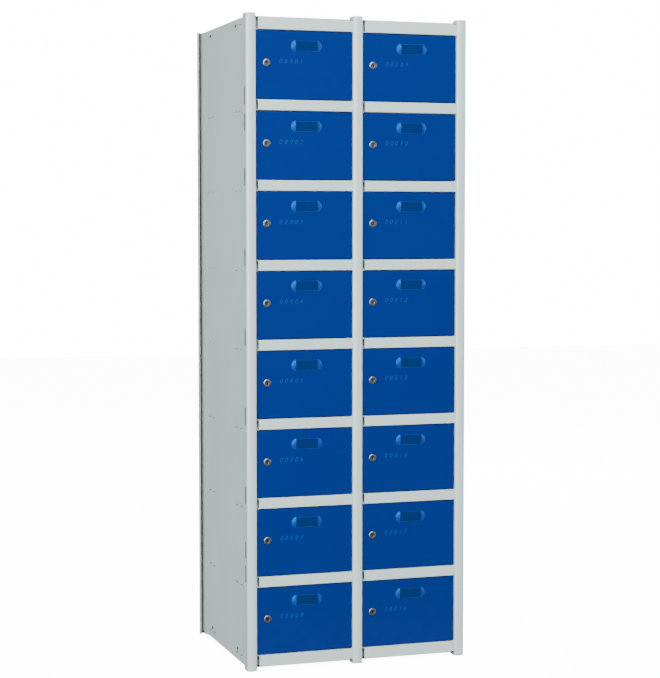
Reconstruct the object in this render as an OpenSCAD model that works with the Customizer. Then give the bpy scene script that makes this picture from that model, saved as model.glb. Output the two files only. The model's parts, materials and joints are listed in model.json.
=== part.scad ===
// Bank of small lockers for mobile phones: two columns of eight doors in folded sheet steel.
// Millimetres. X runs to the right, Y from the front to the back and Z up from the floor.
// The origin is on the floor, in the middle of the footprint, and the doors face -Y.

/* [Cabinet] */
// Height of the front posts, which is the overall height
total_h = 1800; // [1500:10:2000]
// Depth from the nose of the front posts to the back of the rear posts
depth = 510; // [400:5:600]
// Distance between the middles of two neighbouring front posts
col_pitch = 306; // [280:1:360]
// Front posts that stand above the top rail
top_gap = 9; // [6:1:30]
// Feet of the front posts below the bottom rail and the panels
bottom_gap = 10; // [5:1:60]

/* [Front posts] */
// Width of a front post
post_w = 28.5; // [27:0.5:40]
// Depth of a post's flanks
post_flank = 38; // [36:1:60]
// Thickness of the posts' sheet
post_t = 1.2; // [0.8:0.1:1.5]
// Radius of the crowned nose
post_nose_r = 24; // [20:1:60]
// Radius of the two corners beside the nose
post_corner_r = 5.5; // [4:0.5:8]
// Corner cut off each flank at its top and bottom
post_chamfer = 5; // [2:0.5:10]

/* [Rails] */
// Height of the rails between two doors
rail_h = 29; // [24:0.5:50]
// Height of the top rail
top_rail_h = 34.6; // [28:0.2:80]
// Height of the bottom rail
bottom_rail_h = 33; // [28:1:80]
// Depth of a rail
rail_depth = 24; // [22:1:28]
// Lip along each rear edge of a rail
rail_lip = 7; // [4:1:10]
// Thickness of the rails' sheet
rail_t = 1; // [0.8:0.1:1.5]
// Step from the nose of the posts back to the rails
rail_setback = 5; // [2:0.5:7]
// Width of the notch in each upper corner of a top rail and lower corner of a bottom rail
notch_w = 10; // [4:1:20]
// Height of those notches
notch_h = 4; // [2:0.5:6]

/* [Panels and shelves] */
// Thickness of the side panels, the partition, the backs and the shelves
panel_t = 0.8; // [0.6:0.1:1.2]
// Height of the flanges that a shelf or top turns down
shelf_flange = 36; // [32:1:50]
// Length of the tabs that hook a shelf into a side panel
tab_l = 17; // [10:1:30]
// Distance between the two tabs of a pair
tab_pitch = 45; // [36:1:80]
// Front pair of tabs, from the nose of the posts
tab_front = 88; // [75:1:120]
// Rear pair of tabs, from the back of the cabinet
tab_rear = 122; // [75:1:150]
// Tabs that stand out of the side panel
tab_out = 2; // [1:0.5:4]
// Height of the slot for a tab
slot_h = 7; // [4:0.5:12]
// Height of the coupling slots in the outer flanks
coupling_h = 47; // [20:1:60]
// Width of the coupling slots
coupling_w = 9; // [4:1:12]

/* [Rear posts and backs] */
// Width of a rear post
rear_post_w = 30; // [26:1:40]
// Depth of a rear post
rear_post_d = 20; // [16:1:40]
// Rear posts that stand out beside the front posts
rear_overhang = 10; // [10:1:11]
// Difference in height between the front and the rear posts
rear_drop = 6; // [0:1:20]
// Flange around each back panel
back_flange = 12; // [8:1:14]
// Wall anchor holes, below the top
anchor_drop = 90; // [60:1:110]
// Diameter of the wall anchor holes
anchor_d = 8; // [5:0.5:12]

/* [Doors] */
// Step from the nose of the posts back to the doors
door_setback = 8; // [7:0.5:12]
// Thickness of the doors' sheet
door_t = 1; // [0.8:0.1:1.2]
// Depth of the returns around a door
door_return = 15; // [12:0.5:16]
// Radius of a door's folded edges
door_edge_r = 2; // [1.5:0.25:3]
// Gap above, below and beside a door at its lock side
door_gap = 2; // [1.5:0.1:3]
// Gap beside a door at its hinge side
hinge_gap = 2.5; // [2:0.1:4]

/* [Hinges] */
// Hinge axis, from the door's edge
hinge_in = 10; // [8:0.5:16]
// Hinge axis, behind the door's face
hinge_back = 6; // [5:0.25:7]
// Radius of the hinge pins
pin_r = 2.5; // [2:0.25:2.75]
// Length of a pin from the door's edge
pin_l = 8; // [6:0.5:12]
// Wall of the hinge bushes
bush_wall = 1.3; // [1:0.1:1.5]
// Width of a bush's collar
bush_collar = 2.1; // [1:0.1:2.2]
// Thickness of a bush's collar
bush_collar_t = 1; // [0.8:0.1:1.2]

/* [Card holder] */
// Middle of the card, to the right of the column's middle
card_x = 5; // [0:1:20]
// Middle of the card, above the door's middle
card_z = 52; // [45:1:54]
// Gap between the two louvres
louvre_gap = 62; // [50:1:90]
// Width of a louvre
louvre_w = 13.5; // [11:0.5:16]
// Height of a louvre along its straight side
louvre_h = 33; // [29:1:36]
// How far a louvre stands out
louvre_rise = 5; // [4:0.25:7]
// Height of the card
card_h = 28; // [20:1:32]
// Thickness of the card and its cover
card_t = 0.5; // [0.3:0.1:0.6]
// Height of the tongues that slip under the louvres
tongue_h = 16; // [10:1:18]
// Length of the tongues
tongue_l = 4; // [2:0.5:5]

/* [Locks] */
// Lock axis, from the side of the opening
lock_inset = 30.7; // [27:0.1:34]
// Lock axis, above the door's middle
lock_z = 5; // [-10:1:15]
// Diameter of the lock's rim
rim_d = 22; // [20:0.5:26]
// Thickness of the rim
rim_t = 2.5; // [1.5:0.25:4]
// Edge of the rim, inside and outside its crown
rim_edge = 0.5; // [0.3:0.1:0.8]
// Diameter of the threaded barrel
barrel_d = 18; // [16:0.5:19]
// Diameter of the plug
plug_d = 12.9; // [11:0.1:13.5]
// Width of the keyway
key_w = 2; // [1:0.1:2.5]
// Height of the keyway
key_h = 8; // [6:0.5:9]
// Cam's front face, from the nose of the posts
cam_y = 27; // [26:0.5:29]
// Cam from the lock axis to its tip
cam_l = 38; // [36:0.5:42]
// Width of the cam
cam_w = 12; // [10:0.5:16]
// Thickness of the cam
cam_t = 2; // [1.5:0.25:3]
// Nut across its flats
nut_af = 22; // [21:0.5:26]
// Thickness of the nut
nut_t = 4; // [3:0.5:8]

/* [Hidden] */
COLUMNS = 2;
ROWS = 8;
DOORS = COLUMNS * ROWS;
FULL = 96;       // segments of a whole circle
BEND_STEPS = 4;  // segments of a folded corner
NOSE_STEPS = 10; // segments of the crowned nose
fit = 0.06;      // radial clearance of a part that turns
slip = 0.1;      // radial clearance of a part that is pushed in
seat = 0.05;     // gap between two loose pieces that bear on each other
step = 0.5;      // clearance beside the end of a sheet
past = 1;        // how far a cutter reaches past a face

front = -depth / 2;
back = depth / 2;
opening_w = col_pitch - post_w;
frame_top = total_h - top_gap;
rails_h = top_rail_h + bottom_rail_h + (ROWS - 1) * rail_h;
opening_h = (frame_top - bottom_gap - rails_h) / ROWS;
row_pitch = opening_h + rail_h;
fold_r = 2;                                            // outer radius of the frame's folds
side_x = COLUMNS / 2 * col_pitch + post_w / 2 - post_t; // outer face of a side panel
tray_front = front + rail_setback + rail_depth;
tray_back = back - rear_post_d;
sleeve_y = post_nose_r - sqrt(pow(post_nose_r - post_corner_r, 2) - pow(post_w / 2 - post_corner_r, 2));
sleeve_front = sleeve_y + fold_r;                      // front of the sleeve inside a post
sleeve_back = post_flank - fold_r;
bush_r = pin_r + fit + bush_wall;
cap_r = (pow(louvre_h / 2, 2) + pow(louvre_w, 2)) / (2 * louvre_w); // a louvre's outline
dome_r = (pow(cap_r, 2) + pow(louvre_rise, 2)) / (2 * louvre_rise); // its dome
tang = plug_d / 2;                                     // square end of the plug
plug_recess = 0.9;                                     // plug behind the rim's face
barrel_l = cam_y - door_setback - 2 * seat;            // barrel behind the door's face
cam_back = barrel_l + 2 * seat + cam_t;
strike_slack = 1.5;                                    // slot beside the cam
bottom_flange = bottom_rail_h - 2;
bottom_tab_drop = 10;                                  // tabs below a tray's face
top_tab_drop = 18;
shelf_tab_drop = 29;

function tag(i) = str(i < 9 ? "0" : "", i + 1);
function column(i) = floor(i / ROWS);
function row(i) = i % ROWS;
function column_x(c) = (c - (COLUMNS - 1) / 2) * col_pitch;
function post_x(p) = (p - COLUMNS / 2) * col_pitch;
function door_z(r) = frame_top - top_rail_h - opening_h / 2 - r * row_pitch;
function rail_top(r) = door_z(r) - opening_h / 2; // top of the rail below row r

// ---- folded sheet ----

// Points of an arc around c
function arc(c, r, a0, a1, n) =
    [for (i = [0:n]) let (a = a0 + (a1 - a0) * i / n) c + r * [cos(a), sin(a)]];

// The corner b of a path that runs from a to c, rounded
function bend(a, b, c, r) =
    let (u = (a - b) / norm(a - b),
         v = (c - b) / norm(c - b),
         half = acos(u * v) / 2,
         middle = b + (u + v) / norm(u + v) * r / sin(half),
         start = b + u * r / tan(half) - middle,
         end = b + v * r / tan(half) - middle,
         a0 = atan2(start[1], start[0]),
         turn = atan2(start[0] * end[1] - start[1] * end[0], start * end))
    arc(middle, r, a0, a0 + turn, BEND_STEPS);

// A path with all its inner corners rounded
function folded(path, r) = concat(
    [path[0]],
    [for (i = [1:len(path) - 2]) each bend(path[i - 1], path[i], path[i + 1], r)],
    [path[len(path) - 1]]);

// Direction to the left of the way from a to b
function left_of(a, b) = [a[1] - b[1], b[0] - a[0]] / norm(b - a);

// Point i of a path, moved to its left by t
function moved(path, i, t) =
    let (last = len(path) - 1,
         n = left_of(path[max(i - 1, 0)], path[max(i, 1)])
             + left_of(path[min(i, last - 1)], path[min(i + 1, last)]))
    path[i] + n * 2 * t / (n * n);

// Outline of a sheet of thickness t on the left of a path
function sheet(path, t) = concat(path, [for (i = [len(path) - 1:-1:0]) moved(path, i, t)]);

// A profile in Y and Z, extruded along X on both sides of the middle
module across(l) {
    rotate([90, 0, 90])
        linear_extrude(l, center = true)
            children();
}

// A cylinder along +Y from y0 to y1
module bar_y(r, y0, y1, fn = FULL) {
    translate([0, y0, 0])
        rotate([-90, 0, 0])
            cylinder(h = y1 - y0, r = r, $fn = fn);
}

// ---- front frame ----

// Outer line of a front post, from flank to flank
function post_path() =
    let (corner = post_w / 2 - post_corner_r,
         lean = asin(corner / (post_nose_r - post_corner_r)),
         nose = arc([0, post_nose_r], post_nose_r, 270 - lean, 270 + lean, NOSE_STEPS))
    concat([[-post_w / 2, post_flank]],
           arc([-corner, sleeve_y], post_corner_r, 180, 270 - lean, BEND_STEPS),
           [for (i = [1:NOSE_STEPS - 1]) nose[i]],
           arc([corner, sleeve_y], post_corner_r, 270 + lean, 360, BEND_STEPS),
           [[post_w / 2, post_flank]]);

// Slot for the cam of one lock, through every sheet at the right flank of a post
module strike_slot() {
    down = sqrt(pow(cam_l, 2) + pow(cam_w / 2, 2) - pow(lock_inset, 2)) + strike_slack;
    up = cam_w / 2 + strike_slack;
    translate([post_w / 2 - fold_r * 2, cam_y - strike_slack, -down])
        cube([fold_r * 2 + past, cam_t + 2 * strike_slack, down + up]);
}

// The strike slots beside one column of locks
module strike_slots() {
    for (r = [0:ROWS - 1])
        translate([0, 0, door_z(r) + lock_z])
            strike_slot();
}

// Lower ends of the coupling slots: one at each rail, one more below the first and above the last
function coupling_levels() = concat(
    [for (r = [0:ROWS - 2]) rail_top(r) - rail_h / 2],
    [rail_top(0) - rail_h / 2 - 1.5 * coupling_h, rail_top(ROWS - 2) - rail_h / 2 + 1.4 * coupling_h]);

// The coupling slots of an outer flank, in the flank's middle
module coupling_slots() {
    for (z = coupling_levels())
        translate([-past - panel_t - post_t, post_flank / 2 - coupling_w / 2, z])
            cube([2 * past + panel_t + post_t, coupling_w, coupling_h]);
}

// Corner cut off both flanks, at one end of a post
module flank_cut() {
    across(post_w + 2 * past)
        polygon([[post_flank + past, -past], [post_flank - post_chamfer - past, -past],
                 [post_flank + past, post_chamfer + past]]);
}

module front_post(strike) {
    difference() {
        linear_extrude(total_h)
            polygon(sheet(post_path(), post_t));
        flank_cut();
        translate([0, 0, total_h])
            mirror([0, 0, 1])
                flank_cut();
        if (strike)
            strike_slots();
    }
}

module front_posts() {
    color("gainsboro")
        for (p = [0:COLUMNS])
            translate([post_x(p), front, 0])
                difference() {
                    front_post(p < COLUMNS);
                    if (p == 0)
                        translate([-post_w / 2 + post_t, 0, 0])
                            coupling_slots();
                    if (p == COLUMNS)
                        translate([post_w / 2 - post_t, 0, 0])
                            mirror([1, 0, 0])
                                coupling_slots();
                }
}

// Channel that stiffens a post from inside, between x0 and x1
module inner_sleeve(x0, x1, strike) {
    difference() {
        translate([0, 0, bottom_gap])
            linear_extrude(frame_top - bottom_gap)
                polygon(sheet(folded([[x0, sleeve_back], [x0, sleeve_front],
                                      [x1, sleeve_front], [x1, sleeve_back]], fold_r), rail_t));
        if (strike)
            strike_slots();
    }
}

module inner_sleeves() {
    inside = post_w / 2 - post_t;
    color("silver")
        for (p = [0:COLUMNS])
            translate([post_x(p), front, 0])
                inner_sleeve(-inside + (p == 0 ? panel_t : 0), inside - (p == COLUMNS ? panel_t : 0),
                             p < COLUMNS);
}

// Lipped channel with its face at Y = 0
module rail(h) {
    across(opening_w)
        polygon(sheet(folded([[rail_depth, h / 2 - rail_lip], [rail_depth, h / 2], [0, h / 2],
                              [0, -h / 2], [rail_depth, -h / 2], [rail_depth, rail_lip - h / 2]],
                             fold_r), rail_t));
}

// Notch in each upper corner of a rail's face, h being the rail's height
module rail_notches(h) {
    for (s = [-1, 1])
        translate([s * opening_w / 2 - notch_w, -past, h / 2 - notch_h])
            cube([2 * notch_w, past + fold_r, notch_h + past]);
}

// Hole for a hinge bush in a flange at the level z
module bush_hole(z) {
    translate([opening_w / 2 - hinge_gap - hinge_in, door_setback + hinge_back - rail_setback,
               z - fold_r])
        cylinder(h = 2 * fold_r, r = bush_r + slip, $fn = FULL);
}

module front_rails() {
    color("gainsboro")
        for (c = [0:COLUMNS - 1])
            translate([column_x(c), front + rail_setback, 0]) {
                difference() {
                    translate([0, 0, frame_top - top_rail_h / 2]) {
                        difference() {
                            rail(top_rail_h);
                            rail_notches(top_rail_h);
                        }
                    }
                    bush_hole(frame_top - top_rail_h);
                }
                for (r = [0:ROWS - 2])
                    translate([0, 0, rail_top(r) - rail_h / 2])
                        difference() {
                            rail(rail_h);
                            bush_hole(rail_h / 2);
                            bush_hole(-rail_h / 2);
                        }
                translate([0, 0, bottom_gap + bottom_rail_h / 2])
                    difference() {
                        rail(bottom_rail_h);
                        mirror([0, 0, 1])
                            rail_notches(bottom_rail_h);
                        bush_hole(bottom_rail_h / 2);
                    }
            }
}

// ---- panels and shelves ----

// Middles of the tabs, from the nose of the posts
function tab_places() =
    [for (y = [tab_front, depth - tab_rear], s = [-0.5, 0.5]) y + s * tab_pitch];

// Levels of the tabs that a side panel takes
function tab_levels() = concat(
    [frame_top - top_tab_drop],
    [for (r = [0:ROWS - 2]) rail_top(r) - shelf_tab_drop],
    [rail_top(ROWS - 1) - bottom_tab_drop]);

// Right side panel, with the slots that the tabs hook into
module side_panel() {
    translate([side_x - panel_t, front, 0])
        difference() {
            translate([0, sleeve_front, bottom_gap])
                cube([panel_t, depth - sleeve_front - post_t, frame_top - bottom_gap]);
            for (y = tab_places(), z = tab_levels())
                translate([-past, y - tab_l / 2 - step, z - panel_t])
                    cube([panel_t + 2 * past, tab_l + 2 * step, slot_h]);
            translate([panel_t, 0, 0])
                mirror([1, 0, 0])
                    coupling_slots();
        }
}

module side_panel_left() {
    color("silver")
        mirror([1, 0, 0])
            side_panel();
}

module side_panel_right() {
    color("silver")
        side_panel();
}

module centre_partition() {
    color("silver")
        translate([-panel_t / 2, front + sleeve_front + rail_t, bottom_gap])
            cube([panel_t, depth - sleeve_front - rail_t - post_t, frame_top - bottom_gap]);
}

// Tray with its face at Z = 0, for the column at the right of the partition. Its two front corners
// reach into the posts, so that nothing falls down inside them.
module tray(flange, tab_drop) {
    x0 = panel_t / 2;
    x1 = side_x - panel_t;
    inner = post_w / 2;
    outer = col_pitch - post_w / 2;
    shoulder = front + post_flank + step;
    ear_front = front + sleeve_front + rail_t + fold_r;
    wall = post_t + rail_t + slip;
    translate([0, 0, -panel_t])
        linear_extrude(panel_t)
            polygon([[inner, tray_front], [outer, tray_front], [outer, shoulder],
                     [outer + wall, shoulder], [outer + wall, ear_front],
                     [x1 - rail_t - slip, ear_front], [x1 - rail_t - slip, shoulder], [x1, shoulder],
                     [x1, tray_back], [x0, tray_back], [x0, ear_front],
                     [inner - wall, ear_front], [inner - wall, shoulder], [inner, shoulder]]);
    translate([inner, tray_front, -flange])
        cube([outer - inner, panel_t, flange]);
    translate([x0, tray_back - panel_t, -flange])
        cube([x1 - x0, panel_t, flange]);
    for (x = [x0, x1 - panel_t])
        translate([x, shoulder, -flange])
            cube([panel_t, tray_back - shoulder, flange]);
    for (y = tab_places())
        translate([x1 - panel_t, front + y - tab_l / 2, -tab_drop - panel_t])
            cube([2 * panel_t + tab_out, tab_l, panel_t]);
}

// The same tray in both columns, mirrored about the partition
module tray_pair(z, flange, tab_drop) {
    for (s = [0, 1])
        translate([0, 0, z])
            mirror([s, 0, 0])
                tray(flange, tab_drop);
}

module shelves() {
    color("silver")
        for (r = [0:ROWS - 2])
            tray_pair(rail_top(r), shelf_flange, shelf_tab_drop);
}

module top_panels() {
    color("silver")
        tray_pair(frame_top, shelf_flange, top_tab_drop);
}

module bottom_panels() {
    color("silver")
        tray_pair(rail_top(ROWS - 1), bottom_flange, bottom_tab_drop);
}

// ---- back ----

// Right rear post: the side panel stands in it, its front lip closes the compartments' corner and
// a groove stays open outside the panel
module outer_rear_post() {
    x1 = col_pitch * COLUMNS / 2 + post_w / 2 + rear_overhang;
    x0 = x1 - rear_post_w;
    linear_extrude(total_h - rear_drop)
        polygon(sheet(folded([[side_x - panel_t - slip, tray_back], [x0, tray_back], [x0, back],
                              [x1, back], [x1, tray_back]], fold_r), -post_t));
}

// Middle rear post, whose two lips reach to the partition
module middle_rear_post() {
    x = rear_post_w / 2;
    lip = panel_t / 2 + slip;
    linear_extrude(total_h - rear_drop)
        polygon(sheet(folded([[-lip, tray_back], [-x, tray_back], [-x, back], [x, back],
                              [x, tray_back], [lip, tray_back]], fold_r), -post_t));
}

module rear_posts() {
    color("silver") {
        middle_rear_post();
        for (s = [0, 1])
            mirror([s, 0, 0])
                outer_rear_post();
    }
}

// Shallow tray between two rear posts, open to the back, with a wall anchor hole
module back_panel() {
    x0 = rear_post_w / 2;
    x1 = col_pitch * COLUMNS / 2 + post_w / 2 + rear_overhang - rear_post_w;
    h = frame_top - bottom_gap;
    difference() {
        translate([x0, tray_back, bottom_gap])
            cube([x1 - x0, back_flange, h]);
        translate([x0 + panel_t, tray_back + panel_t, bottom_gap + panel_t])
            cube([x1 - x0 - 2 * panel_t, back_flange, h - 2 * panel_t]);
        translate([col_pitch / 2, tray_back, frame_top - anchor_drop])
            bar_y(anchor_d / 2, -past, past + panel_t);
    }
}

module back_panels() {
    color("silver")
        for (s = [0, 1])
            mirror([s, 0, 0])
                back_panel();
}

// ---- hinges ----

// Places a child at the hinge axis of door i, at the door's middle height
module at_hinge(i) {
    translate([column_x(column(i)) + opening_w / 2 - hinge_gap - hinge_in,
               front + door_setback + hinge_back, door_z(row(i))])
        children();
}

// Bush in the flange above an opening, whose collar hangs into the door's gap
module upper_bush() {
    translate([0, 0, opening_h / 2])
        difference() {
            union() {
                translate([0, 0, -bush_collar_t])
                    cylinder(h = bush_collar_t - seat, r = bush_r + bush_collar, $fn = FULL);
                translate([0, 0, -2 * seat])
                    cylinder(h = pin_l - door_gap + 2 * seat, r = bush_r, $fn = FULL);
            }
            translate([0, 0, -bush_collar_t - past])
                cylinder(h = pin_l + bush_collar_t + 2 * past, r = pin_r + fit, $fn = FULL);
        }
}

module hinge_bushes() {
    color("dimgray")
        for (i = [0:DOORS - 1], s = [0, 1])
            at_hinge(i)
                mirror([0, 0, s])
                    upper_bush();
}

// Upper hinge pin, riveted through the door's upper return: its shoulder bears on the bush
module upper_pin() {
    head_t = 1.5;
    translate([0, 0, opening_h / 2 - door_gap]) {
        translate([0, 0, seat])
            cylinder(h = door_gap - bush_collar_t - 2 * seat, r = bush_r + bush_collar / 2, $fn = FULL);
        translate([0, 0, -door_t - seat - head_t])
            cylinder(h = head_t, r = 1.5 * pin_r, $fn = FULL);
        translate([0, 0, -door_t - seat - head_t])
            cylinder(h = door_t + seat + head_t + pin_l, r = pin_r, $fn = FULL);
    }
}

// ---- doors ----

// Places a child on the face of door i, at the middle of its opening
module at_door(i) {
    translate([column_x(column(i)), front + door_setback, door_z(row(i))])
        children();
}

// Front corners of a door in one plane, rounded, between a0 and a1 and y deep
function tray_outline(a0, a1, y0, y1, r) =
    folded([[a0, y1], [a0, y0], [a1, y0], [a1, y1]], r);

// Block with its four front edges rounded, inset from a door's outer faces
module door_block(inset, y1) {
    x0 = -opening_w / 2 + door_gap + inset;
    x1 = opening_w / 2 - hinge_gap - inset;
    z1 = opening_h / 2 - door_gap - inset;
    r = door_edge_r - inset;
    intersection() {
        translate([0, 0, -opening_h / 2])
            linear_extrude(opening_h)
                polygon(tray_outline(x0, x1, inset, y1, r));
        across(opening_w)
            polygon([for (p = tray_outline(-z1, z1, inset, y1, r)) [p[1], p[0]]]);
    }
}

// Dome of the right louvre, cut by the louvre's straight side
module louvre_dome(r, y1) {
    intersection() {
        translate([louvre_gap / 2 + louvre_w - cap_r, dome_r - louvre_rise, 0])
            sphere(r = r, $fn = FULL);
        translate([louvre_gap / 2, -louvre_rise - past, -louvre_h])
            cube([louvre_w + past, louvre_rise + past + y1, 2 * louvre_h]);
    }
}

// Both louvres of a door
module louvre_pair(r, y1) {
    for (s = [0, 1])
        mirror([s, 0, 0])
            louvre_dome(r, y1);
}

// Pressed door: a pan with four returns, two embossed louvres and the holes for lock and pins
module door_pan() {
    difference() {
        union() {
            difference() {
                door_block(0, door_return);
                door_block(door_t, door_return + past);
            }
            translate([card_x, 0, card_z])
                louvre_pair(dome_r, door_t / 2);
        }
        translate([card_x, 0, card_z])
            louvre_pair(dome_r - door_t, door_t + past);
        at_lock()
            bar_y(barrel_d / 2 + slip, -past, door_t + past);
        translate([opening_w / 2 - hinge_gap - hinge_in, hinge_back, -opening_h / 2])
            cylinder(h = opening_h, r = pin_r + slip, $fn = FULL);
    }
}

// Card in its clear cover, with a tongue under each louvre
module card() {
    w = louvre_gap - 2 * step;
    translate([card_x, -seat, card_z])
        rotate([90, 0, 0])
            linear_extrude(card_t) {
                square([w, card_h], center = true);
                square([w + 2 * (step + tongue_l), tongue_h], center = true);
            }
}

module door(i) {
    at_door(i) {
        color("royalblue")
            door_pan();
        color("steelblue")
            card();
    }
    color("gray")
        for (s = [0, 1])
            at_hinge(i)
                mirror([0, 0, s])
                    upper_pin();
}

// ---- locks ----

// Places a child at the lock axis, from the middle of a door's face
module at_lock() {
    translate([lock_inset - opening_w / 2, 0, lock_z])
        children();
}

// Crowned rim and barrel, with the bore that the plug turns in
module lock_housing() {
    rim_r = rim_d / 2;
    bore = plug_d / 2 + fit;
    crown = bore + rim_edge;
    rotate([-90, 0, 0])
        rotate_extrude($fn = FULL)
            polygon(concat([[bore, rim_edge - rim_t]],
                           [for (i = [0:6]) let (a = 15 * i)
                               [crown + (rim_r - crown) * sin(a),
                                rim_edge + (rim_t - rim_edge) * (1 - cos(a)) - rim_t]],
                           [[rim_r, 0], [barrel_d / 2, 0], [barrel_d / 2, barrel_l], [bore, barrel_l]]));
}

// Hexagon nut that clamps the lock behind the door's sheet
module lock_nut() {
    difference() {
        translate([0, door_t, 0])
            rotate([-90, 30, 0])
                cylinder(h = nut_t, r = nut_af / sqrt(3), $fn = 6);
        bar_y(barrel_d / 2 + slip, door_t - past, door_t + nut_t + past);
    }
}

module lock_case(i) {
    at_door(i)
        at_lock() {
            color("lightgray")
                lock_housing();
            color("darkgray")
                lock_nut();
        }
}

// Plug with its keyway in front and a square tang behind
module plug() {
    difference() {
        bar_y(plug_d / 2, plug_recess - rim_t, barrel_l + seat);
        translate([-key_w / 2, -rim_t - past, -key_h / 2])
            cube([key_w, rim_t + past + barrel_l / 2, key_h]);
    }
    translate([-tang / 2, barrel_l, -tang / 2])
        cube([tang, cam_back - barrel_l, tang]);
}

// Cam that points down when the door is unlocked
module cam() {
    tip_r = cam_w / 4;
    translate([0, cam_back - cam_t, 0])
        rotate([-90, 0, 0])
            linear_extrude(cam_t)
                difference() {
                    union() {
                        circle(d = plug_d + 2 * cam_t, $fn = FULL);
                        translate([-cam_w / 2, 0])
                            square([cam_w, cam_l - tip_r]);
                        translate([tip_r - cam_w / 2, 0])
                            square([cam_w - 2 * tip_r, cam_l]);
                        for (s = [-1, 1])
                            translate([s * (cam_w / 2 - tip_r), cam_l - tip_r])
                                circle(r = tip_r, $fn = FULL);
                    }
                    square(tang + 2 * slip, center = true);
                }
}

// Screw that holds the cam on the tang
module cam_screw() {
    screw_r = tang * 0.75;
    washer_t = 1;
    translate([0, cam_back + seat, 0])
        rotate([-90, 0, 0]) {
            cylinder(h = washer_t, r = screw_r * 1.3, $fn = FULL);
            translate([0, 0, washer_t])
                cylinder(h = screw_r * 0.8, r = screw_r, $fn = 6);
        }
}

module lock_plug(i) {
    at_door(i)
        at_lock() {
            color("lightgray")
                plug();
            color("darkgray")
                cam();
            color("gray")
                cam_screw();
        }
}

front_posts();
front_rails();
inner_sleeves();
side_panel_left();
side_panel_right();
centre_partition();
shelves();
top_panels();
bottom_panels();
rear_posts();
back_panels();
hinge_bushes();
for (i = [0:DOORS - 1]) {
    door(i);
    lock_case(i);
    lock_plug(i);
}
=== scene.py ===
"""Phone locker cabinet: powder coat, plated locks, card covers, printed numbers and the studio.

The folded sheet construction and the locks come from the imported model. This script gives each
piece its finish, models the card covers' edges and the side panels' screws, prints a plain number
on each door and sets up the camera and light of the product photograph. Lengths are in metres.
"""
from __future__ import annotations

import json
import logging
import math
from dataclasses import dataclass, field
from enum import Enum

import bmesh
import bpy
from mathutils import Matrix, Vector

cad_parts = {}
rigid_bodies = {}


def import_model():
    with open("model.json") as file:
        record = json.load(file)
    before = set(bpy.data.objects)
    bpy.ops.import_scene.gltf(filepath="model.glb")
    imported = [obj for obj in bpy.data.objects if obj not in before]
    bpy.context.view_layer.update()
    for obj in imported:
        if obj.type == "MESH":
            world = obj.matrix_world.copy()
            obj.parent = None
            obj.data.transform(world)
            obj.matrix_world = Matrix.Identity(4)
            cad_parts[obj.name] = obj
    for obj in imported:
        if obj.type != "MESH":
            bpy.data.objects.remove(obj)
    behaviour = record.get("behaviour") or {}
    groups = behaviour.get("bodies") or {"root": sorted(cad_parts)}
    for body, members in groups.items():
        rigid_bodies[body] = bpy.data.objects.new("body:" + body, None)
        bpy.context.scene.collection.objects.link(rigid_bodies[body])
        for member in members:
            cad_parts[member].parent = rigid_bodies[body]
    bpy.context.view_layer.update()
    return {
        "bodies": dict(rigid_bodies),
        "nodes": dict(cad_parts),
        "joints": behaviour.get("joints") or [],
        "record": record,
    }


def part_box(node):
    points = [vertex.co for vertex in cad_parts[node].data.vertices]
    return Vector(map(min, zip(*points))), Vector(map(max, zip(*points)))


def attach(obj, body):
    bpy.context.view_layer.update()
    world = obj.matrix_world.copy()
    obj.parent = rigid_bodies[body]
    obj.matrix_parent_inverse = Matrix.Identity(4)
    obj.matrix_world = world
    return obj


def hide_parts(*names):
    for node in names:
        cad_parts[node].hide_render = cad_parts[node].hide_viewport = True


LOG = logging.getLogger("locker")
MM = 0.001
SKIN = 0.05 * MM
FOLD_ANGLE = 40.0

Colour = tuple[float, float, float]


class Slot(Enum):
    """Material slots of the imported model."""

    FRAME = "frame_paint"
    PANEL = "panel_paint"
    DOOR = "door_paint"
    NICKEL = "nickel"


# ---------------------------------------------------------------- shader node groups


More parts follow.
